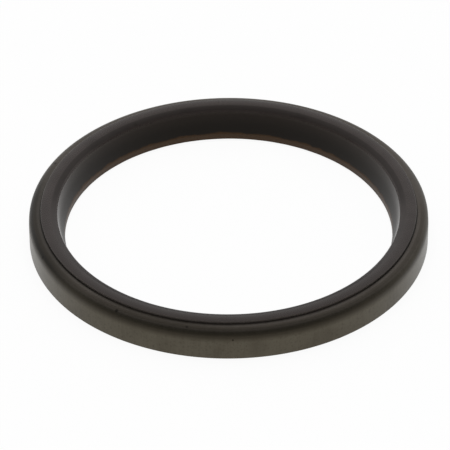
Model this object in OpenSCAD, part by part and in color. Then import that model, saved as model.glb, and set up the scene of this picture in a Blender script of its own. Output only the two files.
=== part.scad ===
// Wiper seal: a drawn steel case with a rubber wiping ring moulded into it.
// It lies on the open end of the case, with the flange and the crowned rubber face up.
// The origin is the ring's centre, on the plane of the case's open end, and +Z is the shaft's axis.

/* [Fit] */
// Diameter of the shaft that the lip wipes
shaft_d = 85; // [40:1:200]
// Width of the seal, from the shaft to the bore of its housing
section_w = 7.5; // [6.5:0.1:10]
// Height of the case, which is the depth of its seat in the housing
case_h = 8.2; // [7:0.1:12]

/* [Steel case] */
// Thickness of the drawn sheet
sheet_t = 1.2; // [0.9:0.1:1.6]
// Outside radius of the drawn corner between the wall and the flange
corner_r = 2; // [1:0.1:2.3]
// Height of the lead, the part of the wall below the flange that leans in
lead_h = 3; // [2.5:0.1:4]
// Angle at which the lead leans in
lead_angle = 4; // [1:1:8]
// Radius that blends the straight wall into the lead
lead_blend_r = 16; // [2:1:17]
// Width of the flange, from the outer wall to its hole inside the rubber
flange_w = 5; // [4:0.1:5.5]
// Rounding of the outer edge at the open end
open_edge_r = 0.2; // [0.1:0.1:0.4]

/* [Crowned rubber face] */
// Height to which the crown stands above the flange
crown_rise = 0.8; // [0.7:0.1:1.6]
// Distance from the outer wall to the step in which the face ends on the flange
step_in = 3; // [2.4:0.1:3.6]
// Distance from the outer wall to the line along which the crown is highest
crown_in = 4.25; // [3.8:0.05:5]
// Radius of the crown
crown_r = 5; // [4:0.1:6]
// Slope at which the crown runs into the crest of the bore
crown_end_angle = 31; // [26:1:38]
// Radius of the crest between the crown and the bore
crest_r = 1; // [0.8:0.1:1.6]
// Rounding of the face's outer edge, above the step
face_edge_r = 0.25; // [0.1:0.05:0.3]

/* [Wiping lip] */
// How much smaller than the shaft the free lip is, on the diameter
lip_interference = 2.8; // [1.5:0.1:3.5]
// Height of the cylindrical land that touches the shaft
land_h = 1.5; // [1:0.1:2.5]
// Clearance between the lip's end and the plane of the open end
lip_end_clearance = 0.4; // [0.2:0.1:1]
// Rounding where the tapered bore meets the land
land_edge_r = 0.5; // [0.3:0.1:1]
// Thickness of the lip at its end
lip_end_t = 1.45; // [1.2:0.05:2]
// Thickness of the lip at its root, level with the top of the groove behind it
lip_root_t = 2.1; // [1.6:0.1:3]
// Rounding of the edge between the lip's end and its back
lip_back_edge_r = 0.3; // [0.1:0.1:0.5]
// Thickness of the rubber under the flange
web_t = 1.2; // [0.9:0.1:1.6]
// Radius at the root of the groove behind the lip
groove_r = 0.8; // [0.4:0.1:1.2]

/* [Hidden] */
$fn = 240;
arc_fn = 96;
// How far an arc's circle stands over the lines that it blends, so that it crosses them cleanly
blend_stand = 0.0003;
// How far the cut that rounds a corner reaches past the sharp corner
cut_past = 0.1;

// The case, measured in from its outer wall and down from its flange
case_r = shaft_d / 2 + section_w;
wall_inner_r = case_r - sheet_t;
bend_inner_r = max(corner_r - sheet_t, 0);
flange_hole_r = case_r - flange_w;
flange_under_h = case_h - sheet_t;
lead_foot_h = case_h - lead_h;
lead_top_r = case_r - lead_h * tan(lead_angle);

// The rubber face, whose arcs are each tangent to the next
face_r = case_r - step_in;
crown_centre = [case_r - crown_in, case_h + crown_rise - crown_r];
crest_centre = crown_centre + (crown_r - crest_r) * toward(90 + crown_end_angle);
face_edge_out = face_r - face_edge_r - crown_centre[0];
face_edge_up = sqrt(pow(crown_r - face_edge_r, 2) - pow(face_edge_out, 2));
face_edge_centre = crown_centre + [face_edge_out, face_edge_up];
face_edge_angle = atan2(face_edge_up, face_edge_out);

// The bore tapers along the line from the top of the land that just touches the crest
land_r = (shaft_d - lip_interference) / 2;
land_top = [land_r, lip_end_clearance + land_h];
land_to_crest = crest_centre - land_top;
bore_taper = atan2(land_to_crest[0], land_to_crest[1]) - asin(crest_r / norm(land_to_crest));

// The lip's back and the groove between it and the case
lip_back_r = land_r + lip_end_t;
groove_roof_h = flange_under_h - web_t;
bore_r_at_root = land_r + (groove_roof_h - land_top[1]) * tan(bore_taper);
groove_root_r = bore_r_at_root + lip_root_t;

// A section is a list of sharp and rounded corners, walked anticlockwise in [radius, height].
// Each entry is [sharp corner, arc centre, arc radius, first angle, last angle].
function toward(angle) = [cos(angle), sin(angle)];
function heading(from, to) = atan2(to[1] - from[1], to[0] - from[0]);
function half_turn_wrap(angle) = angle > 180 ? angle - 360 : (angle < -180 ? angle + 360 : angle);
function apex(centre, radius, first, last, past = 0) =
    centre + (radius / cos((last - first) / 2) + past) * toward((first + last) / 2);
function corner(point) = [point, point, 0, 0, 0];
function arc(centre, radius, first, last) = [apex(centre, radius, first, last), centre, radius, first, last];

// The rounding of a corner that lies between the points before and after it
function rounded(before, point, after, radius) =
    let (
        coming = heading(before, point),
        turn = half_turn_wrap(heading(point, after) - coming),
        side = sign(turn),
        centre = point + toward(coming + turn / 2 + side * 90) * radius / cos(turn / 2)
    )
    [point, centre, radius, coming - side * 90, coming - side * 90 + turn];

function is_round(entry) = entry[2] > 0;
function turns_in(entry) = entry[4] < entry[3];
function arc_point(entry, angle) = entry[1] + entry[2] * toward(angle);

// The area outside an arc, up to its sharp corner
module outside_arc(entry) {
    difference() {
        polygon([
            arc_point(entry, entry[3]),
            apex(entry[1], entry[2], entry[3], entry[4], cut_past),
            arc_point(entry, entry[4])
        ]);
        whole_circle(entry);
    }
}

module whole_circle(entry) {
    translate(entry[1]) circle(r = entry[2] + blend_stand, $fn = arc_fn);
}

// A corner that turns in is bridged by a straight line, and its circle then cuts the fillet
function outline_points(entry) =
    is_round(entry) && turns_in(entry)
    ? [arc_point(entry, entry[3]), arc_point(entry, entry[4])]
    : [entry[0]];

module section(entries) {
    difference() {
        polygon([for (entry = entries) each outline_points(entry)]);
        for (entry = entries) {
            if (is_round(entry) && turns_in(entry)) whole_circle(entry);
            if (is_round(entry) && !turns_in(entry)) outside_arc(entry);
        }
    }
}

// Corners of the drawn case
open_in = [wall_inner_r, 0];
open_out = [case_r, 0];
lead_foot = [case_r, lead_foot_h];
case_shoulder = [lead_top_r, case_h];
flange_top = [flange_hole_r, case_h];
flange_under = [flange_hole_r, flange_under_h];
bend_in = [wall_inner_r, flange_under_h];

// Corners of the rubber
step_foot = [face_r, case_h];
lip_end_in = [land_r, lip_end_clearance];
lip_end_out = [lip_back_r, lip_end_clearance];
groove_root = [groove_root_r, groove_roof_h];
groove_out = [wall_inner_r, groove_roof_h];
crest_end = crest_centre + crest_r * toward(180 - bore_taper);

module steel_case() {
    color("#6d695f")
        rotate_extrude()
            section([
                corner(open_in),
                rounded(open_in, open_out, lead_foot, open_edge_r),
                rounded(open_out, lead_foot, case_shoulder, lead_blend_r),
                rounded(lead_foot, case_shoulder, flange_top, corner_r),
                corner(flange_top),
                corner(flange_under),
                rounded(flange_under, bend_in, open_in, bend_inner_r)
            ]);
}

module rubber_lip() {
    color("#3b3836")
        rotate_extrude()
            section([
                corner(step_foot),
                arc(face_edge_centre, face_edge_r, 0, face_edge_angle),
                arc(crown_centre, crown_r, face_edge_angle, 90 + crown_end_angle),
                arc(crest_centre, crest_r, 90 + crown_end_angle, 180 - bore_taper),
                rounded(crest_end, land_top, lip_end_in, land_edge_r),
                corner(lip_end_in),
                rounded(lip_end_in, lip_end_out, groove_root, lip_back_edge_r),
                rounded(lip_end_out, groove_root, groove_out, groove_r),
                corner(groove_out),
                rounded(groove_out, bend_in, flange_under, bend_inner_r),
                corner(flange_under),
                corner(flange_top)
            ]);
}

steel_case();
rubber_lip();
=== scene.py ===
"""Wiper seal: the drawn steel case and the rubber ring, lying on a white table in a studio tent."""

import math

import bpy
from bpy.props import FloatProperty, FloatVectorProperty, IntProperty, PointerProperty
from mathutils import Matrix, Vector, noise


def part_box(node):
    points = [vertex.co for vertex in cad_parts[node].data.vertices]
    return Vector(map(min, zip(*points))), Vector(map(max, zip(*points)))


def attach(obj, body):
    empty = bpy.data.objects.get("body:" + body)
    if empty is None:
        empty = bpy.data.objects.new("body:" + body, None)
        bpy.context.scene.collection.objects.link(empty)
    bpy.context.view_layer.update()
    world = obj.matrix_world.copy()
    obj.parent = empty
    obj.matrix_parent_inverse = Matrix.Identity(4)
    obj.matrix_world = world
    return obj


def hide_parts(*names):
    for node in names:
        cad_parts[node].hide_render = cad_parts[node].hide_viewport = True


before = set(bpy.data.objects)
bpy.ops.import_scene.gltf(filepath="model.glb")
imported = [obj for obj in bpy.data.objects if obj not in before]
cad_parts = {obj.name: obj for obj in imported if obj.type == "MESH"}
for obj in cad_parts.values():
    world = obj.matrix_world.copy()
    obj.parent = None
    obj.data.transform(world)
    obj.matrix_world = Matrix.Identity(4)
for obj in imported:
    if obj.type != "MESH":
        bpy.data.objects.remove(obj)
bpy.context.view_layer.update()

bl_info = {
    "name": "Wiper Seal",
    "version": (1, 0, 0),
    "blender": (4, 5, 0),
    "location": "3D View > Sidebar > Wiper Seal",
    "description": "Builds a metal-cased wiper seal, its finishes and the stage it lies on",
    "category": "Add Mesh",
}

MM = 0.001
CASE_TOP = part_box("steel_case")[1]
LIP_FOOT, LIP_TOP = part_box("rubber_lip")
LAND_R = min(math.hypot(v.co.x, v.co.y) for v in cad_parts["rubber_lip"].data.vertices)


def linear(code):
    """An sRGB hex code such as "#3b3836" as linear red, green and blue, by the sRGB standard's curve."""
    parts = [int(code[i:i + 2], 16) / 255 for i in (1, 3, 5)]
    return [p / 12.92 if p <= 0.04045 else ((p + 0.055) / 1.055) ** 2.4 for p in parts]


WHITE = (*linear("#ffffff"), 1.0)


def length(name, description, default):
    """A property that holds a length."""
    return FloatProperty(
        name=name, description=description, default=default, min=0.0,
        subtype="DISTANCE", unit="LENGTH", precision=5,
    )


def angle(name, description, degrees):
    """A property that holds an angle."""
    return FloatProperty(
        name=name, description=description, default=math.radians(degrees),
        subtype="ANGLE", unit="ROTATION",
    )


def share(name, description, default):
    """A property that holds a number from 0 to 1."""
    return FloatProperty(
        name=name, description=description, default=default, min=0.0, max=1.0, subtype="FACTOR",
    )


def colour(name, description, code):
    """A property that holds a colour."""
    return FloatVectorProperty(
        name=name, description=description, default=linear(code), size=3, min=0.0, max=1.0, subtype="COLOR",
    )


class CaseSizes(bpy.types.PropertyGroup):
    """The sizes of the drawn steel case"""

    outer_r: length("Outer radius", "Radius of the straight outer wall", CASE_TOP.x)
    height: length("Height", "From the open end to the top of the flange", CASE_TOP.z)
    sheet_t: length("Sheet", "Thickness of the drawn sheet", 1.2 * MM)
    corner_r: length("Corner radius", "Outside radius between the wall and the flange", 2 * MM)
    lead_h: length("Lead height", "Height of the part of the wall that leans in", 3 * MM)
    lead_angle: angle("Lead angle", "Angle at which the lead leans in", 4)
    lead_blend_r: length("Lead blend", "Radius that blends the straight wall into the lead", 16 * MM)
    flange_w: length("Flange width", "From the outer wall to the hole inside the rubber", 5 * MM)
    open_edge_r: length("Open edge", "Rounding of the outer edge at the open end", 0.2 * MM)


class LipSizes(bpy.types.PropertyGroup):
    """The sizes of the rubber face and the wiping lip"""

    top: length("Top", "Height of the crown's highest line above the open end", LIP_TOP.z)
    step_in: length("Step", "From the outer wall to the step that ends the rubber face", 3 * MM)
    crown_in: length("Crown line", "From the outer wall to the crown's highest line", 4.25 * MM)
    crown_r: length("Crown radius", "Radius of the crowned face", 5 * MM)
    crown_end: angle("Crown end", "Slope at which the crown runs into the crest", 31)
    crest_r: length("Crest radius", "Radius between the crown and the bore", 1 * MM)
    face_edge_r: length("Face edge", "Rounding of the face's outer edge", 0.25 * MM)
    land_r: length("Land radius", "Radius of the cylindrical land that wipes the shaft", LAND_R)
    land_h: length("Land height", "Height of the cylindrical land", 1.5 * MM)
    end_h: length("Lip end", "Height of the lip's end above the open end", LIP_FOOT.z)
    land_edge_r: length("Land edge", "Rounding where the tapered bore meets the land", 0.5 * MM)
    end_t: length("End thickness", "Thickness of the lip at its end", 1.45 * MM)
    root_t: length("Root thickness", "Thickness of the lip level with the top of the groove", 2.1 * MM)
    back_edge_r: length("Back edge", "Rounding between the lip's end and its back", 0.3 * MM)
    web_t: length("Web", "Thickness of the rubber under the flange", 1.2 * MM)
    groove_r: length("Groove radius", "Radius at the root of the groove behind the lip", 0.8 * MM)
    trim_depth: length("Trim depth", "How unevenly the lip's end is trimmed", 0.05 * MM)
    trim_length: length("Trim length", "How far apart the trim's high places stand", 3 * MM)


class Finishes(bpy.types.PropertyGroup):
    """The colours and the gloss of the finishes"""

    wall: colour("Wall", "Phosphated steel where the die has ironed it", "#565146")
    # The lead and corner colours are painted shade on the lead and the corner. The corner colour also darkens
    # the phosphate's mottles
    lead: colour("Lead", "Phosphated steel on the lead", "#4a453b")
    corner: colour("Corner", "Oil that has dried dark in the corner", "#3e3930")
    flange: colour("Flange", "Phosphated steel on the flange", "#56504a")
    # The stain colour also paints shade in front, where the corner runs into the flange
    stain: colour("Stain", "Oil that has dried on the phosphate", "#332c22")
    # The oil colour also paints a dark line of shade along the foot of the rubber's step
    oil: colour("Oil line", "Oil along the foot of the rubber's step and in the stain at the left", "#25221d")
    dirt: colour("Dirt", "Specks of dirt", "#17120d")
    steel_gloss: share("Steel roughness", "Roughness of the phosphated steel", 0.4)
    rubber: colour("Rubber", "Black nitrile rubber", "#1f1816")
    # The step colour paints highlights: on the face's outer step, on the crest and at the top of the bore
    step: colour("Step", "Bloom that stays on the face's outer step and on the crest", "#3c3733")
    # The bloom colour is the rubber's clouds of bloom and also a painted highlight on the crest
    bloom: colour("Bloom", "Grey bloom on the rubber", "#2c2523")
    rubber_gloss: share("Rubber roughness", "Roughness of the moulded rubber", 0.21)
    bore: colour("Bore", "Tumbled rubber at the top of the bore", "#28221e")
    # This colour is painted shade: it darkens the bore towards its foot and the face's slope
    shade_black: colour("Bore foot", "Cleaner rubber at the bore's foot and on the face's slope", "#0e0b08")
    land: colour("Land", "Brown surface of the trimmed land", "#402c17")
    bore_gloss: share("Bore roughness", "Roughness of the tumbled rubber at the foot of the bore", 0.4)


class StageSettings(bpy.types.PropertyGroup):
    """The table, the tent, the lamp and the camera"""

    table_w: length("Table width", "Width of the white table", 12.0)
    table: colour("Table", "White of the table", "#ffffff")
    glow: share("Table glow", "Share of the table's white that no shadow dims", 0.92)
    tent_r: length("Tent radius", "Radius of the studio tent", 7.0)
    tent_bright: share("Tent back", "Brightness of the tent's back, where it is highest", 0.9)
    tent_foot: share("Tent foot", "Share of that brightness which is left at the tent's foot", 0.72)
    tent_dark: share("Tent front", "Brightness of the tent over the front and the top", 0.2)
    tent_edge: angle("Tent edge", "Elevation at the back at which the tent turns dark", 70)
    tent_soft: share("Tent softness", "Half the width of the change from bright to dark, as a sine", 0.1)
    tent_full: share("Tent rise", "Elevation from which the brightness is highest, as a sine", 0.85)
    key_power: FloatProperty(
        name="Key power", description="Power of the soft lamp overhead", default=10.0, unit="POWER",
    )
    key_w: length("Key width", "Width of the soft lamp overhead", 1.0)
    key_h: length("Key height", "Height of the soft lamp above the table", 1.3)
    distance: length("Camera distance", "From the camera to the middle of the ring's foot", 0.9)
    elevation: angle("Camera elevation", "Angle of the camera above the table", 36.75)
    roll: angle("Camera roll", "Turn of the camera about its own axis", -0.31)
    lens: FloatProperty(
        name="Focal length", description="Focal length of the camera", default=286.4, unit="CAMERA",
    )
    aim: FloatVectorProperty(
        name="Aim", description="Point that the camera looks at", default=(-0.92 * MM, 0.0, 2.95 * MM),
        subtype="TRANSLATION", unit="LENGTH", precision=5,
    )


class SealSettings(bpy.types.PropertyGroup):
    """Everything that a user of the panel may change"""

    segments: IntProperty(name="Segments", description="Number of facets round the ring", default=480, min=48)
    case: PointerProperty(name="Case", description="Sizes of the steel case", type=CaseSizes)
    lip: PointerProperty(name="Lip", description="Sizes of the rubber ring", type=LipSizes)
    finishes: PointerProperty(name="Finishes", description="Colours and gloss", type=Finishes)
    stage: PointerProperty(name="Stage", description="Table, tent, lamp and camera", type=StageSettings)


# The turn between an arc's points, the least steps in an arc and the longest straight stretch
ARC_STEP = math.radians(6)
LEAST_STEPS = 3
LONGEST_SPAN = 0.4 * MM
# An edge that turns more than this is shaded sharp
SHARP_ANGLE = math.radians(30)
# How squarely a face looks at the axis where it lines the bore or the land
BORE_FACING = -0.95
# The nearest and the farthest that the camera sees, in metres
CAMERA_REACH = (0.01, 30.0)

# How wide each pattern's marks are drawn, in millimetres
DRAW_MARK_W = 2 / 3
CRYSTAL_W = 0.25
MOTTLE_W = 0.625
OIL_PATCH_W = 50 / 7
RUBBER_GRAIN_W = 0.2
CLOUD_W = 5.0
TUMBLED_PATCH_W = 20 / 7
# Draw marks are stretched along the height of the wall
DRAW_MARK_STRETCH = (1.0, 1.0, 0.05)
# How deep the bump of each finish is
BUMP_DEPTH = 0.01 * MM

# The middles of the large oil stains on the case, in millimetres
LEFT_STAIN = (-48.5, -8.0, 8.0)
FRONT_STAIN = (-18.0, -43.0, 8.2)
# Specks of dirt: the turn round the ring in degrees, then the radius, height and width in millimetres
SPECKS = (
    (-102, 48.7, 8.0, 0.6), (-89, 50.0, 5.7, 0.5), (-123.5, 49.1, 7.8, 0.8), (-157.5, 49.6, 7.3, 1.0),
    (156, 48.3, 8.2, 0.8), (-62, 45.5, 9.0, 0.6), (6.5, 45.2, 9.0, 0.6), (123.5, 43.5, 8.5, 1.2),
)
# A speck begins and is full at these parts of its width from its middle
SPECK_EDGE = (0.7, 0.3)


def toward(direction):
    """The unit step in [radius, height] that points in a direction."""
    return Vector((math.cos(direction), math.sin(direction)))


def heading(start, end):
    """The direction from one point of a section to another."""
    return math.atan2(end.y - start.y, end.x - start.x)


def arc(centre, radius, first, last):
    """The points along an arc."""
    steps = max(LEAST_STEPS, math.ceil(abs(last - first) / ARC_STEP))
    return [centre + radius * toward(first + (last - first) * i / steps) for i in range(steps + 1)]


def rounded(before, corner, after, radius):
    """The points that round a corner of a section."""
    if radius <= 0:
        return [corner]
    coming = heading(before, corner)
    turn = math.remainder(heading(corner, after) - coming, math.tau)
    side = math.copysign(math.pi / 2, turn)
    centre = corner + toward(coming + turn / 2 + side) * radius / math.cos(turn / 2)
    return arc(centre, radius, coming - side, coming - side + turn)


def filled_in(points):
    """A closed section with its long straight stretches divided."""
    result = []
    for here, there in zip(points, points[1:] + points[:1]):
        spans = max(1, math.ceil((there - here).length / LONGEST_SPAN))
        result += [here.lerp(there, i / spans) for i in range(spans)]
    return result


def revolve(name, section, segments, shift=lambda place: Vector()):
    """A ring made by turning a closed section, given anticlockwise in [radius, height], about +Z."""
    count = len(section)
    points, faces = [], []
    for turn in range(segments):
        direction = math.tau * turn / segments
        following = (turn + 1) % segments
        for i, (radius, height) in enumerate(section):
            place = Vector((radius * math.cos(direction), radius * math.sin(direction), height))
            points.append(place + shift(place))
            j = (i + 1) % count
            faces.append((turn * count + i, following * count + i, following * count + j, turn * count + j))
    mesh = bpy.data.meshes.new(name)
    mesh.from_pydata(points, [], faces)
    mesh.shade_smooth()
    mesh.set_sharp_from_angle(angle=SHARP_ANGLE)
    piece = bpy.data.objects.new(name, mesh)
    bpy.context.scene.collection.objects.link(piece)
    return piece


class CaseCorners:
    """The sharp corners of the case's section"""

    def __init__(self, case):
        wall_inner_r = case.outer_r - case.sheet_t
        flange_under_h = case.height - case.sheet_t
        flange_hole_r = case.outer_r - case.flange_w
        lead_top_r = case.outer_r - case.lead_h * math.tan(case.lead_angle)
        self.open_in = Vector((wall_inner_r, 0))
        self.open_out = Vector((case.outer_r, 0))
        self.lead_foot = Vector((case.outer_r, case.height - case.lead_h))
        self.shoulder = Vector((lead_top_r, case.height))
        self.flange_top = Vector((flange_hole_r, case.height))
        self.flange_under = Vector((flange_hole_r, flange_under_h))
        self.bend_in = Vector((wall_inner_r, flange_under_h))
        self.bend_inner_r = max(case.corner_r - case.sheet_t, 0)


def case_section(case):
    """The section of the drawn case."""
    at = CaseCorners(case)
    return filled_in([
        at.open_in,
        *rounded(at.open_in, at.open_out, at.lead_foot, case.open_edge_r),
        *rounded(at.open_out, at.lead_foot, at.shoulder, case.lead_blend_r),
        *rounded(at.lead_foot, at.shoulder, at.flange_top, case.corner_r),
        at.flange_top,
        at.flange_under,
        *rounded(at.flange_under, at.bend_in, at.open_in, at.bend_inner_r),
    ])


def lip_section(case, lip):
    """The section of the rubber, which is bonded round the flange of the case."""
    at = CaseCorners(case)
    step_r = case.outer_r - lip.step_in
    crown = Vector((case.outer_r - lip.crown_in, lip.top - lip.crown_r))
    crown_end = math.pi / 2 + lip.crown_end
    crest = crown + (lip.crown_r - lip.crest_r) * toward(crown_end)
    edge_out = step_r - lip.face_edge_r - crown.x
    edge_up = math.sqrt((lip.crown_r - lip.face_edge_r) ** 2 - edge_out ** 2)
    edge = crown + Vector((edge_out, edge_up))
    edge_end = math.atan2(edge_up, edge_out)

    # The bore tapers along the line from the top of the land that just touches the crest
    end_in = Vector((lip.land_r, lip.end_h))
    land_top = Vector((lip.land_r, lip.end_h + lip.land_h))
    reach = crest - land_top
    taper = math.atan2(reach.x, reach.y) - math.asin(lip.crest_r / reach.length)
    crest_end = crest + lip.crest_r * toward(math.pi - taper)

    roof_h = at.flange_under.y - lip.web_t
    root_r = lip.land_r + (roof_h - land_top.y) * math.tan(taper) + lip.root_t
    end_out = Vector((lip.land_r + lip.end_t, lip.end_h))
    groove_root = Vector((root_r, roof_h))
    groove_out = Vector((at.bend_in.x, roof_h))
    return filled_in([
        Vector((step_r, case.height)),
        *arc(edge, lip.face_edge_r, 0, edge_end),
        *arc(crown, lip.crown_r, edge_end, crown_end)[1:],
        *arc(crest, lip.crest_r, crown_end, math.pi - taper)[1:],
        *rounded(crest_end, land_top, end_in, lip.land_edge_r),
        end_in,
        *rounded(end_in, end_out, groove_root, lip.back_edge_r),
        *rounded(end_out, groove_root, groove_out, lip.groove_r),
        groove_out,
        *rounded(groove_out, at.bend_in, at.flange_under, at.bend_inner_r),
        at.flange_under,
        at.flange_top,
    ])


def uneven_trim(lip):
    """How far each point of the rubber is moved where the lip's end was trimmed by hand. The unevenness
    fades out over the lower half of the land."""
    fade_h = lip.land_h / 2

    def shift(place):
        near_end = max(0.0, 1 - (place.z - lip.end_h) / fade_h)
        cut = (1 + noise.noise(place / lip.trim_length)) / 2
        return Vector((0, 0, lip.trim_depth * cut * near_end))
    return shift


def lines_bore(face):
    """Whether a face of the rubber lines the bore or the land, which face the axis almost squarely."""
    return face.normal.xy.dot(face.center.xy.normalized()) < BORE_FACING


def find(sockets, name):
    """The socket in use that has this name, or this number."""
    if isinstance(name, int):
        return sockets[name]
    return next(s for s in sockets if s.enabled and s.name == name)


def add(tree, kind, inputs=None, out=None, ramp=None, **settings):
    """Adds a node, makes its settings, sets or links its inputs, and gives its output."""
    node = tree.nodes.new(kind)
    for name, value in settings.items():
        setattr(node, name, value)
    for name, value in (inputs or {}).items():
        if isinstance(value, bpy.types.NodeSocket):
            tree.links.new(value, find(node.inputs, name))
        else:
            find(node.inputs, name).default_value = value
    if ramp:
        stops = node.color_ramp.elements
        while len(stops) < len(ramp):
            stops.new(1.0)
        for stop, (position, shade) in zip(stops, ramp):
            stop.position = position
            stop.color = (*shade, 1.0)
    if out:
        return find(node.outputs, out)
    return next((s for s in node.outputs if s.enabled), None)


def new_material(name):
    """A material with an empty node tree."""
    material = bpy.data.materials.new(name)
    material.use_nodes = True
    material.node_tree.nodes.clear()
    return material, material.node_tree


def place_in_mm(tree):
    """The place on the ring in millimetres, its distance from the axis and its height."""
    place = add(tree, "ShaderNodeTexCoord", out="Object")
    place = add(tree, "ShaderNodeVectorMath", {0: place, 1: (1 / MM,) * 3}, operation="MULTIPLY")
    flat = add(tree, "ShaderNodeVectorMath", {0: place, 1: (1, 1, 0)}, operation="MULTIPLY")
    radius = add(tree, "ShaderNodeVectorMath", {0: flat}, operation="LENGTH")
    height = add(tree, "ShaderNodeSeparateXYZ", {0: place}, out="Z")
    return place, radius, height


def shown(tree, *limits, most=1.0):
    """How much of a finish shows, from 0 to the most of it. Each limit is a value, the line it is
    measured from, the span from where the finish begins to where it is full, and, where some of the
    finish is left outside that span, how much."""
    amount = most
    for value, line, (begins, full), *left in limits:
        part = add(tree, "ShaderNodeMapRange", {
            "Value": value, "From Min": line + begins, "From Max": line + full,
            "To Min": left[0] if left else 0.0,
        }, interpolation_type="SMOOTHSTEP")
        amount = add(tree, "ShaderNodeMath", {0: part, 1: amount}, operation="MULTIPLY")
    return amount


def coated(tree, surface, finish, *limits, most=1.0):
    """The colour of a surface with a finish over it, which shows as far as its limits let it."""
    under = surface if isinstance(surface, bpy.types.NodeSocket) else (*surface, 1.0)
    amount = shown(tree, *limits, most=most)
    return add(tree, "ShaderNodeMix", {"Factor": amount, "A": under, "B": (*finish, 1.0)}, data_type="RGBA")


def soiled(tree, place, surface, dirt):
    """A surface with its specks of dirt, which are soft at their edges."""
    for turn, radius, height, width in SPECKS:
        direction = math.radians(turn)
        middle = (radius * math.cos(direction), radius * math.sin(direction), height)
        away = add(tree, "ShaderNodeVectorMath", {0: place, 1: middle}, out="Value", operation="DISTANCE")
        edge = [part * width for part in SPECK_EDGE]
        surface = coated(tree, surface, dirt, (away, 0.0, edge), most=0.7)
    return surface


# The spans below run from where a finish begins to where it is full, in millimetres.
# On the case, up from the lead's foot: the ironed wall, and where its plain colour ends
IRONED = (1.3, 0.0)
WALL_COLOUR_END = -0.4
# On the case, up from the top of the flange
ON_FLANGE = (-0.3, -0.03)
MATT_RISE = (-0.8, -0.03)
LEFT_STAIN_RISE = (-1.4, -0.8)
RIM_SHADE_RISE = (-0.4, -0.15)
# On the case, out from the rubber's step
STEP_SHADE_LINE = (0.35, 0.15)
LEFT_STAIN_OUT = (0.7, 1.5)
RIM_SHADE_OUT = (0.75, 1.2)
# On the case, away from the middles of the stains
LEFT_STAIN_REACH = (30.0, 12.0)
FRONT_STAIN_REACH = (20.0, 7.0)
# On the case, towards the back from the axis, and to either side of it
RIM_SHADE_BACK = (10.0, -6.0)
STEP_SHADE_SIDES = (44.0, 28.0)
# These spans are values of the patterns, which go from 0 to 1
OIL_PATCH = (0.45, 0.75)
DRAW_MARK = (0.4, 0.8)
MOTTLE = (0.5, 0.7)
# What is added to the steel's roughness beside the ironed wall, on it, and with the crystals
PLAIN_ROUGHNESS = 0.04
IRONED_ROUGHNESS = -0.08
CRYSTAL_ROUGHNESS = 0.16
# How high the crystals stand in the bump, beside the draw marks
CRYSTAL_HEIGHT = 0.4
# How metallic the partly matt flange is
FLANGE_METALLIC = 0.62


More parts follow.
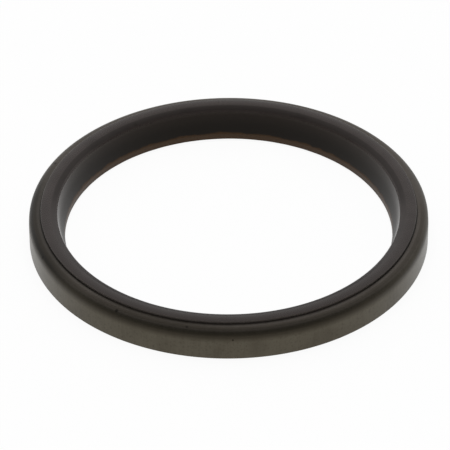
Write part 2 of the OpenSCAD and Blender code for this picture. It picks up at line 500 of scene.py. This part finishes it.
def phosphated_steel(finishes, case, lip):
    """Drawn sheet steel, phosphated and oiled: a dark and faintly olive metal with a satin gloss.
    The die has ironed its wall up to the lead, so the wall is smoother than the corner. The lead and the
    corner are painted darker than the wall, darkest on the corner, as painted shade. The flange is greyer,
    with a dark line of painted shade along the foot of the rubber."""
    material, tree = new_material("phosphated_drawn_steel")
    place, radius, height = place_in_mm(tree)
    back = add(tree, "ShaderNodeSeparateXYZ", {0: place}, out="Y")
    sides = add(tree, "ShaderNodeMath", {0: back}, operation="ABSOLUTE")
    top, lead_foot = case.height / MM, (case.height - case.lead_h) / MM
    step_r = (case.outer_r - lip.step_in) / MM

    # Draw marks stand about 0.7 mm apart round the wall and run along its height
    upright = add(tree, "ShaderNodeVectorMath", {0: place, 1: DRAW_MARK_STRETCH}, operation="MULTIPLY")
    marks = add(tree, "ShaderNodeTexNoise", {
        "Vector": upright, "Scale": 1 / DRAW_MARK_W, "Detail": 5.0, "Roughness": 0.7,
    })
    # Phosphate crystals are 0.02 mm wide and would not show, so they are drawn 0.25 mm wide
    crystals = add(tree, "ShaderNodeTexNoise", {"Vector": place, "Scale": 1 / CRYSTAL_W, "Detail": 4.0})
    # The phosphate is mottled, in spots about 0.6 mm wide
    mottles = add(tree, "ShaderNodeTexNoise", {"Vector": place, "Scale": 1 / MOTTLE_W, "Detail": 2.0})
    # Oil dries in patches about 7 mm wide
    oil = add(tree, "ShaderNodeTexNoise", {"Vector": place, "Scale": 1 / OIL_PATCH_W, "Detail": 3.0})

    # From the wall up over the lead and the corner to the flange: the lead and the corner are painted darker,
    # darkest on the corner, as painted shade
    rise = add(tree, "ShaderNodeMapRange", {
        "Value": height, "From Min": lead_foot + WALL_COLOUR_END, "From Max": top,
    })
    surface = add(tree, "ShaderNodeValToRGB", {"Fac": rise}, ramp=[
        (0.0, finishes.wall), (0.24, finishes.lead), (0.44, finishes.corner),
        (0.62, finishes.corner), (0.74, finishes.lead), (1.0, finishes.flange),
    ])
    surface = coated(tree, surface, finishes.stain, (oil, 0.0, OIL_PATCH), most=0.25)
    surface = coated(tree, surface, finishes.stain, (marks, 0.0, DRAW_MARK), most=0.24)
    surface = coated(tree, surface, finishes.corner, (mottles, 0.0, MOTTLE), most=0.35)

    # One large stain lies on the corner and the flange at the left, and a fainter one on the flange in front
    on_flange = (height, top, ON_FLANGE)
    away = add(tree, "ShaderNodeVectorMath", {0: place, 1: LEFT_STAIN}, out="Value", operation="DISTANCE")
    surface = coated(
        tree, surface, finishes.oil, (away, 0.0, LEFT_STAIN_REACH), (height, top, LEFT_STAIN_RISE),
        (radius, step_r, LEFT_STAIN_OUT, 0.5), most=0.9,
    )
    away = add(tree, "ShaderNodeVectorMath", {0: place, 1: FRONT_STAIN}, out="Value", operation="DISTANCE")
    surface = coated(tree, surface, finishes.stain, (away, 0.0, FRONT_STAIN_REACH), on_flange, most=0.5)
    # In front, the stain colour is painted where the corner runs into the flange, as painted shade
    surface = coated(
        tree, surface, finishes.stain, (back, 0.0, RIM_SHADE_BACK), (height, top, RIM_SHADE_RISE),
        (radius, step_r, RIM_SHADE_OUT), most=0.55,
    )
    # A dark line of painted shade runs along the foot of the rubber's step, drawn in the oil colour, thickest
    # at the left and the right
    surface = coated(
        tree, surface, finishes.oil, (radius, step_r, STEP_SHADE_LINE), on_flange, (sides, 0.0, STEP_SHADE_SIDES, 0.3),
    )
    surface = soiled(tree, place, surface, finishes.dirt)

    ironed = shown(tree, (height, lead_foot, IRONED))
    rough = add(tree, "ShaderNodeMapRange", {
        "Value": ironed, "To Min": finishes.steel_gloss + PLAIN_ROUGHNESS,
        "To Max": finishes.steel_gloss + IRONED_ROUGHNESS,
    }, interpolation_type="SMOOTHSTEP")
    rough = add(tree, "ShaderNodeMath", {
        0: crystals, 1: CRYSTAL_ROUGHNESS, 2: rough,
    }, operation="MULTIPLY_ADD")
    relief = add(tree, "ShaderNodeMath", {0: marks, 1: ironed}, operation="MULTIPLY")
    relief = add(tree, "ShaderNodeMath", {
        0: crystals, 1: CRYSTAL_HEIGHT, 2: relief,
    }, operation="MULTIPLY_ADD")
    bump = add(tree, "ShaderNodeBump", {"Height": relief, "Strength": 0.5, "Distance": BUMP_DEPTH})
    # The phosphate lies thicker on the flange and is partly matt there
    bare = add(tree, "ShaderNodeMapRange", {
        "Value": height, "From Min": top + MATT_RISE[0], "From Max": top + MATT_RISE[1],
        "To Min": 1.0, "To Max": FLANGE_METALLIC,
    }, interpolation_type="SMOOTHSTEP")
    shader = add(tree, "ShaderNodeBsdfPrincipled", {
        "Base Color": surface, "Metallic": bare, "Roughness": rough, "Normal": bump,
        "Sheen Weight": 0.15, "Sheen Roughness": 0.4,
    })
    add(tree, "ShaderNodeOutputMaterial", {"Surface": shader})
    return material


# On the rubber, out from its step
STEP_HIGHLIGHT = (-0.3, -0.1)
# On the rubber, out from the crown's highest line
SLOPE_BELOW_CROWN = (-0.9, -1.7)
SLOPE_TO_CREST = (-2.85, -2.5)
CREST_HIGHLIGHT = (-2.45, -2.85)
CREST_PALE_HIGHLIGHT = (-2.7, -2.95)
# The step's painted light and the slope's painted shade and scuffing are faint along a line from left to
# right, this far in front of the axis, and are full away from it
FAINT_LINE = 12.0
PAST_FAINT_LINE = (4.0, 24.0)
# Values of the clouds of bloom, and how much they gain a millimetre further back
CLOUD = (0.3, 0.8)
CLOUD_GAIN = 0.005
# In the bore, up from its top
BORE_TOP_HIGHLIGHT = (-2.0, -1.3)
# In the bore, up from the top of the land: the brown, and where the bore's painted shade is at its darkest
ON_LAND = (1.2, 0.7)
BORE_DARK_END = 1.6
# How far the patches of tumbled rubber raise and lower the edge of the land's brown
LAND_EDGE_SWAY = 1.2
# What is added to the rubber's roughness on the scuffed slope and with the grain
SLOPE_ROUGHNESS = 0.25
GRAIN_ROUGHNESS = 0.12
# Nitrile rubber's IOR is about 1.52. Bloom and grain dull its gloss, so lower ones match the object
MOULDED_IOR = 1.47
TUMBLED_IOR = 1.35
# The bloom tints the gloss a little brown
MOULDED_TINT = "#fff6f1"
TUMBLED_TINT = "#fff4ea"


def finish_rubber(tree, place, surface, rough, ior, tint):
    """Ends a rubber material: its colour, its gloss and the grain that the mould or the tumbling left."""
    # The grain is about 0.05 mm wide and would not show, so it is drawn 0.2 mm wide
    grain = add(tree, "ShaderNodeTexNoise", {"Vector": place, "Scale": 1 / RUBBER_GRAIN_W, "Detail": 4.0})
    rough = add(tree, "ShaderNodeMath", {0: grain, 1: GRAIN_ROUGHNESS, 2: rough}, operation="MULTIPLY_ADD")
    bump = add(tree, "ShaderNodeBump", {"Height": grain, "Strength": 0.4, "Distance": BUMP_DEPTH})
    shader = add(tree, "ShaderNodeBsdfPrincipled", {
        "Base Color": surface, "Roughness": rough, "IOR": ior, "Normal": bump,
        "Specular Tint": (*linear(tint), 1.0),
    })
    add(tree, "ShaderNodeOutputMaterial", {"Surface": shader})


def moulded_rubber(finishes, case, lip):
    """Nitrile rubber as it leaves the mould: near black, with a soft sheen and a little grey bloom."""
    material, tree = new_material("moulded_nitrile_rubber")
    place, radius, _ = place_in_mm(tree)
    step_r, crown_r = (case.outer_r - lip.step_in) / MM, (case.outer_r - lip.crown_in) / MM

    # Bloom gathers in clouds about 5 mm wide, and the clouds grow lighter towards the ring's back
    clouds = add(tree, "ShaderNodeTexNoise", {"Vector": place, "Scale": 1 / CLOUD_W, "Detail": 4.0})
    back = add(tree, "ShaderNodeSeparateXYZ", {0: place}, out="Y")
    clouds = add(tree, "ShaderNodeMath", {0: back, 1: CLOUD_GAIN, 2: clouds}, operation="MULTIPLY_ADD")
    face = coated(tree, finishes.rubber, finishes.bloom, (clouds, 0.0, CLOUD))

    # The face's outer step and the crest are painted lighter, as painted highlights. The slope between the
    # crown's line and the crest is painted darker, as painted shade, and is a little scuffed. Step and slope
    # show it least at the left and the right
    beside = add(tree, "ShaderNodeMath", {0: back, 1: FAINT_LINE})
    beside = add(tree, "ShaderNodeMath", {0: beside}, operation="ABSOLUTE")
    off_sides = (beside, 0.0, PAST_FAINT_LINE, 0.3)
    face = coated(tree, face, finishes.step, (radius, step_r, STEP_HIGHLIGHT), off_sides)
    face = coated(tree, face, finishes.bloom, (radius, crown_r, CREST_HIGHLIGHT))
    face = coated(tree, face, finishes.step, (radius, crown_r, CREST_PALE_HIGHLIGHT), most=0.5)
    slope = shown(tree, (radius, crown_r, SLOPE_BELOW_CROWN), (radius, crown_r, SLOPE_TO_CREST), off_sides)
    face = coated(tree, face, finishes.shade_black, (slope, 0.0, (0.0, 1.0)), most=0.5)
    face = soiled(tree, place, face, finishes.dirt)

    rough = add(tree, "ShaderNodeMapRange", {
        "Value": slope, "To Min": finishes.rubber_gloss, "To Max": finishes.rubber_gloss + SLOPE_ROUGHNESS,
    }, interpolation_type="SMOOTHSTEP")
    finish_rubber(tree, place, face, rough, MOULDED_IOR, MOULDED_TINT)
    return material


def tumbled_rubber(finishes, lip):
    """The same nitrile rubber where it was tumbled to take off the flash, which leaves the tapered bore
    duller towards the lip's end. The land that wipes the shaft was trimmed, and is brown."""
    material, tree = new_material("tumbled_nitrile_rubber")
    place, _, height = place_in_mm(tree)
    top, land_top = lip.top / MM, (lip.end_h + lip.land_h) / MM

    # Down the bore the colour is painted darker towards the lip's end, as painted shade. The crest's painted
    # highlight runs a little way into it
    depth = (height, 0.0, (top, land_top + BORE_DARK_END))
    bore = coated(tree, finishes.bore, finishes.shade_black, depth)
    bore = coated(tree, bore, finishes.step, (height, top, BORE_TOP_HIGHLIGHT), most=0.5)
    # Tumbling leaves patches about 3 mm wide, which make the edge of the brown uneven
    patches = add(tree, "ShaderNodeTexNoise", {"Vector": place, "Scale": 1 / TUMBLED_PATCH_W, "Detail": 4.0})
    uneven = add(tree, "ShaderNodeMath", {0: patches, 1: LAND_EDGE_SWAY, 2: height}, operation="MULTIPLY_ADD")
    surface = coated(tree, bore, finishes.land, (uneven, land_top, ON_LAND))

    rough = add(tree, "ShaderNodeMapRange", {
        "Value": shown(tree, depth), "To Min": finishes.rubber_gloss, "To Max": finishes.bore_gloss,
    }, interpolation_type="SMOOTHSTEP")
    finish_rubber(tree, place, surface, rough, TUMBLED_IOR, TUMBLED_TINT)
    return material


def white_table(stage):
    """Matt white board. The camera and the reflections see its full white, dimmed a little in the shadow."""
    material, tree = new_material("matt_white_board")
    seen = 0.0
    for kind in ("Is Camera Ray", "Is Glossy Ray", "Is Transmission Ray"):
        ray = add(tree, "ShaderNodeLightPath", out=kind)
        seen = add(tree, "ShaderNodeMath", {0: ray, 1: seen}, operation="MAXIMUM")
    amount = add(tree, "ShaderNodeMath", {0: seen, 1: stage.glow}, operation="MULTIPLY")
    board = add(tree, "ShaderNodeBsdfDiffuse", {"Color": (*stage.table, 1.0)})
    glow = add(tree, "ShaderNodeEmission", {"Color": WHITE, "Strength": 1.0})
    board = add(tree, "ShaderNodeMixShader", {0: amount, 1: board, 2: glow})
    # From below the board is clear, so that the seal's open end can be looked at
    under = add(tree, "ShaderNodeNewGeometry", out="Backfacing")
    clear = add(tree, "ShaderNodeBsdfTransparent")
    shader = add(tree, "ShaderNodeMixShader", {0: under, 1: board, 2: clear})
    add(tree, "ShaderNodeOutputMaterial", {"Surface": shader})
    return material


def tent_cloth(stage):
    """White tent cloth, lit low at the back and left dark over the front and the top."""
    material, tree = new_material("white_tent_cloth")
    place = add(tree, "ShaderNodeTexCoord", out="Object")
    direction = add(tree, "ShaderNodeVectorMath", {0: place}, operation="NORMALIZE")
    lit_side = (0.0, math.sin(stage.tent_edge), -math.cos(stage.tent_edge))
    facing = add(tree, "ShaderNodeVectorMath", {0: direction, 1: lit_side}, operation="DOT_PRODUCT")
    bright = add(tree, "ShaderNodeMapRange", {
        "Value": facing, "From Min": -stage.tent_soft, "From Max": stage.tent_soft,
        "To Min": stage.tent_dark, "To Max": stage.tent_bright,
    }, interpolation_type="SMOOTHSTEP")
    rise = add(tree, "ShaderNodeSeparateXYZ", {0: direction}, out="Z")
    rise = add(tree, "ShaderNodeMapRange", {
        "Value": rise, "From Max": stage.tent_full, "To Min": stage.tent_foot,
    })
    bright = add(tree, "ShaderNodeMath", {0: bright, 1: rise}, operation="MULTIPLY")
    glow = add(tree, "ShaderNodeEmission", {"Color": WHITE, "Strength": bright})
    add(tree, "ShaderNodeOutputMaterial", {"Surface": glow})
    return material


def add_table(stage):
    """The white table that the seal lies on."""
    half = stage.table_w / 2
    corners = [(-half, -half, 0), (half, -half, 0), (half, half, 0), (-half, half, 0)]
    mesh = bpy.data.meshes.new("table")
    mesh.from_pydata(corners, [], [(0, 1, 2, 3)])
    table = bpy.data.objects.new("table", mesh)
    mesh.materials.append(white_table(stage))
    bpy.context.scene.collection.objects.link(table)


def add_tent(stage):
    """The tent round the table, which lights it and shows in the reflections, and hides from the camera."""
    bpy.ops.mesh.primitive_ico_sphere_add(subdivisions=5, radius=stage.tent_r)
    tent = bpy.context.object
    tent.name = "tent"
    tent.data.materials.append(tent_cloth(stage))
    tent.visible_camera = False
    tent.visible_transmission = False


def add_lamp(stage):
    """The soft lamp overhead, which shows in no reflection."""
    lamp = bpy.data.lights.new("soft_key", "AREA")
    lamp.size = stage.key_w
    lamp.energy = stage.key_power
    holder = bpy.data.objects.new("soft_key", lamp)
    holder.location = (0, 0, stage.key_h)
    holder.visible_glossy = False
    holder.visible_camera = False
    bpy.context.scene.collection.objects.link(holder)


def add_white_world():
    """The plain white that shows past the table's edge."""
    world = bpy.data.worlds.new("white_surround")
    world.use_nodes = True
    world.node_tree.nodes.clear()
    white = add(world.node_tree, "ShaderNodeBackground", {"Color": WHITE, "Strength": 1.0})
    add(world.node_tree, "ShaderNodeOutputWorld", {"Surface": white})
    bpy.context.scene.world = world


def add_camera(stage):
    """The camera, above the front of the table."""
    lens = bpy.data.cameras.new("camera")
    lens.lens = stage.lens
    lens.clip_start, lens.clip_end = CAMERA_REACH
    camera = bpy.data.objects.new("camera", lens)
    away = Vector((0, -math.cos(stage.elevation), math.sin(stage.elevation)))
    camera.location = away * stage.distance
    look = (Vector(stage.aim) - camera.location).to_track_quat("-Z", "Y").to_matrix().to_4x4()
    camera.matrix_world = Matrix.Translation(camera.location) @ look @ Matrix.Rotation(stage.roll, 4, "Z")
    bpy.context.scene.collection.objects.link(camera)
    bpy.context.scene.camera = camera


class WIPERSEAL_OT_add_case(bpy.types.Operator):
    """Adds the drawn steel case with its phosphated finish"""

    bl_idname = "wiper_seal.add_case"
    bl_label = "Add Steel Case"

    def execute(self, context):
        seal = context.scene.wiper_seal
        piece = revolve("case", case_section(seal.case), seal.segments)
        piece.data.materials.append(phosphated_steel(seal.finishes, seal.case, seal.lip))
        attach(piece, "root")
        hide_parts("steel_case")
        return {"FINISHED"}


class WIPERSEAL_OT_add_lip(bpy.types.Operator):
    """Adds the rubber ring with its crowned face and wiping lip"""

    bl_idname = "wiper_seal.add_lip"
    bl_label = "Add Rubber Lip"

    def execute(self, context):
        seal = context.scene.wiper_seal
        section = lip_section(seal.case, seal.lip)
        piece = revolve("lip", section, seal.segments, uneven_trim(seal.lip))
        piece.data.materials.append(moulded_rubber(seal.finishes, seal.case, seal.lip))
        piece.data.materials.append(tumbled_rubber(seal.finishes, seal.lip))
        for face in piece.data.polygons:
            face.material_index = int(lines_bore(face))
        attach(piece, "root")
        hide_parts("rubber_lip")
        return {"FINISHED"}


class WIPERSEAL_OT_add_stage(bpy.types.Operator):
    """Adds the white table, the tent, the lamp and the camera"""

    bl_idname = "wiper_seal.add_stage"
    bl_label = "Add Stage"

    def execute(self, context):
        stage = context.scene.wiper_seal.stage
        add_white_world()
        add_table(stage)
        add_tent(stage)
        add_lamp(stage)
        add_camera(stage)
        context.scene.view_settings.view_transform = "Standard"
        return {"FINISHED"}


# The boxes of the panel: a group of settings and the operator that uses it
PANEL_BOXES = (("finishes", ""), ("case", "add_case"), ("lip", "add_lip"), ("stage", "add_stage"))


class WIPERSEAL_PT_panel(bpy.types.Panel):
    """Lists the pieces of the seal and its stage"""

    bl_idname = "WIPERSEAL_PT_panel"
    bl_label = "Wiper Seal"
    bl_space_type = "VIEW_3D"
    bl_region_type = "UI"
    bl_category = "Wiper Seal"

    def draw(self, context):
        seal = context.scene.wiper_seal
        self.layout.prop(seal, "segments")
        for group, operator in PANEL_BOXES:
            box = self.layout.box()
            settings = getattr(seal, group)
            for name in settings.bl_rna.properties.keys():
                if name not in ("rna_type", "name"):
                    box.prop(settings, name)
            if operator:
                box.operator("wiper_seal." + operator)


CLASSES = (
    CaseSizes,
    LipSizes,
    Finishes,
    StageSettings,
    SealSettings,
    WIPERSEAL_OT_add_case,
    WIPERSEAL_OT_add_lip,
    WIPERSEAL_OT_add_stage,
    WIPERSEAL_PT_panel,
)


def register():
    """Adds the classes and the scene's settings to Blender."""
    for cls in CLASSES:
        bpy.utils.register_class(cls)
    bpy.types.Scene.wiper_seal = PointerProperty(
        name="Wiper Seal", description="Settings of the wiper seal", type=SealSettings,
    )


def unregister():
    """Takes the settings and the classes out of Blender again."""
    del bpy.types.Scene.wiper_seal
    for cls in reversed(CLASSES):
        bpy.utils.unregister_class(cls)


def main():
    """Builds the seal and its stage."""
    register()
    bpy.ops.wiper_seal.add_case()
    bpy.ops.wiper_seal.add_lip()
    bpy.ops.wiper_seal.add_stage()


if __name__ == "__main__":
    main()
